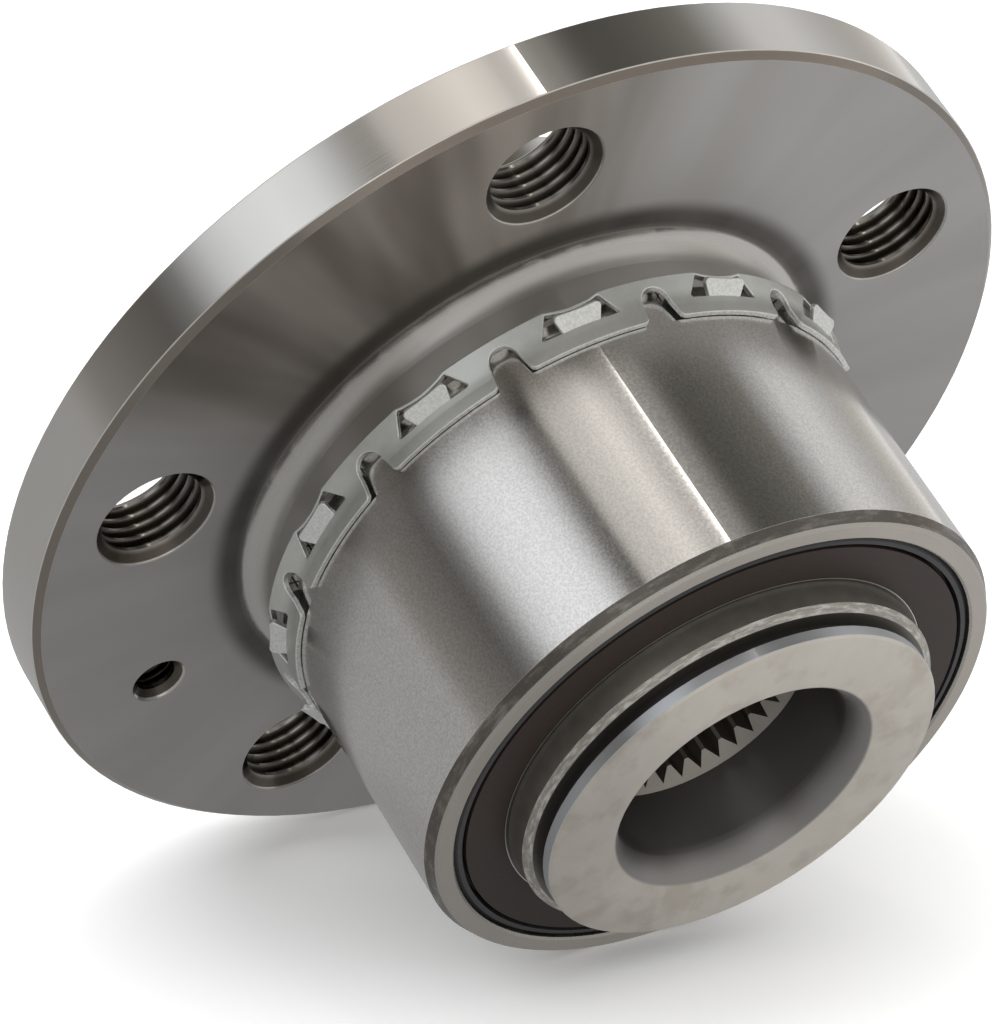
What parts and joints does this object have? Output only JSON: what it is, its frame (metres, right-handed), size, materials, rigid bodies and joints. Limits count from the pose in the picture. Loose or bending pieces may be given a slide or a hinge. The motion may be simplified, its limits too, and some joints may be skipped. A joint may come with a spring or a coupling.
{
  "type": "wheel hub bearing",
  "caption": "Wheel hub bearing: splined flange with threaded wheel bolt holes on a double-row ball bearing, with seals, speed encoder and a clawed snap ring.",
  "frame": {"origin": "centre of the wheel mounting face, on the turning axis", "axes": "+Z along the turning axis, inboard towards the knuckle; +X through one wheel bolt hole"},
  "size_m": [0.126, 0.126, 0.0774],
  "materials": {
    "hub_steel": "satin forged and machined steel",
    "ring_steel": "ground bearing steel, satin",
    "raceway_steel": "ground bearing steel, oiled and dark",
    "ball_steel": "polished bearing steel",
    "cage_plastic": "moulded polyamide",
    "seal_case_coat": "steel case with a dark rubber coat",
    "seal_rubber": "soft nitrile rubber",
    "slinger_steel": "stainless sheet",
    "encoder_rubber": "ferrite-filled rubber, matte",
    "zinc_sheet": "zinc-plated spring steel, grey-green"
  },
  "bodies": {
    "outer_ring_body": {"outer_ring": "ring_steel", "snap_ring": "zinc_sheet", "seal_case_outboard": "seal_case_coat", "seal_lip_outboard": "seal_rubber", "seal_case_inboard": "seal_case_coat", "seal_lip_inboard": "seal_rubber"},
    "hub_body": {"hub_flange": "hub_steel", "inner_ring_outboard": "raceway_steel", "inner_ring_inboard": "raceway_steel", "slinger_outboard": "slinger_steel", "slinger_inboard": "slinger_steel", "encoder_ring": "encoder_rubber"},
    "cage_outboard_body": {"cage_outboard": "cage_plastic", "ball_outboard_01": "ball_steel", "ball_outboard_02": "ball_steel", "ball_outboard_03": "ball_steel", "ball_outboard_04": "ball_steel", "ball_outboard_05": "ball_steel", "ball_outboard_06": "ball_steel", "ball_outboard_07": "ball_steel", "ball_outboard_08": "ball_steel", "ball_outboard_09": "ball_steel", "ball_outboard_10": "ball_steel", "ball_outboard_11": "ball_steel", "ball_outboard_12": "ball_steel", "ball_outboard_13": "ball_steel", "ball_outboard_14": "ball_steel"},
    "cage_inboard_body": {"cage_inboard": "cage_plastic", "ball_inboard_01": "ball_steel", "ball_inboard_02": "ball_steel", "ball_inboard_03": "ball_steel", "ball_inboard_04": "ball_steel", "ball_inboard_05": "ball_steel", "ball_inboard_06": "ball_steel", "ball_inboard_07": "ball_steel", "ball_inboard_08": "ball_steel", "ball_inboard_09": "ball_steel", "ball_inboard_10": "ball_steel", "ball_inboard_11": "ball_steel", "ball_inboard_12": "ball_steel", "ball_inboard_13": "ball_steel", "ball_inboard_14": "ball_steel"}
  },
  "joints": [
    {"name": "hub_spin", "type": "hinge", "parent": "outer_ring_body", "child": "hub_body", "pos_m": [0, 0, 0.0356], "axis": [0, 0, 1], "continuous": true},
    {"name": "cage_outboard_orbit", "type": "hinge", "parent": "outer_ring_body", "child": "cage_outboard_body", "pos_m": [0, 0, 0.0272], "axis": [0, 0, 1], "continuous": true},
    {"name": "cage_inboard_orbit", "type": "hinge", "parent": "outer_ring_body", "child": "cage_inboard_body", "pos_m": [0, 0, 0.044], "axis": [0, 0, 1], "continuous": true}
  ],
  "couplings": [
    {"joint": "cage_outboard_orbit", "follows": "hub_spin", "ratio": 0.424},
    {"joint": "cage_inboard_orbit", "follows": "hub_spin", "ratio": 0.424}
  ]
}
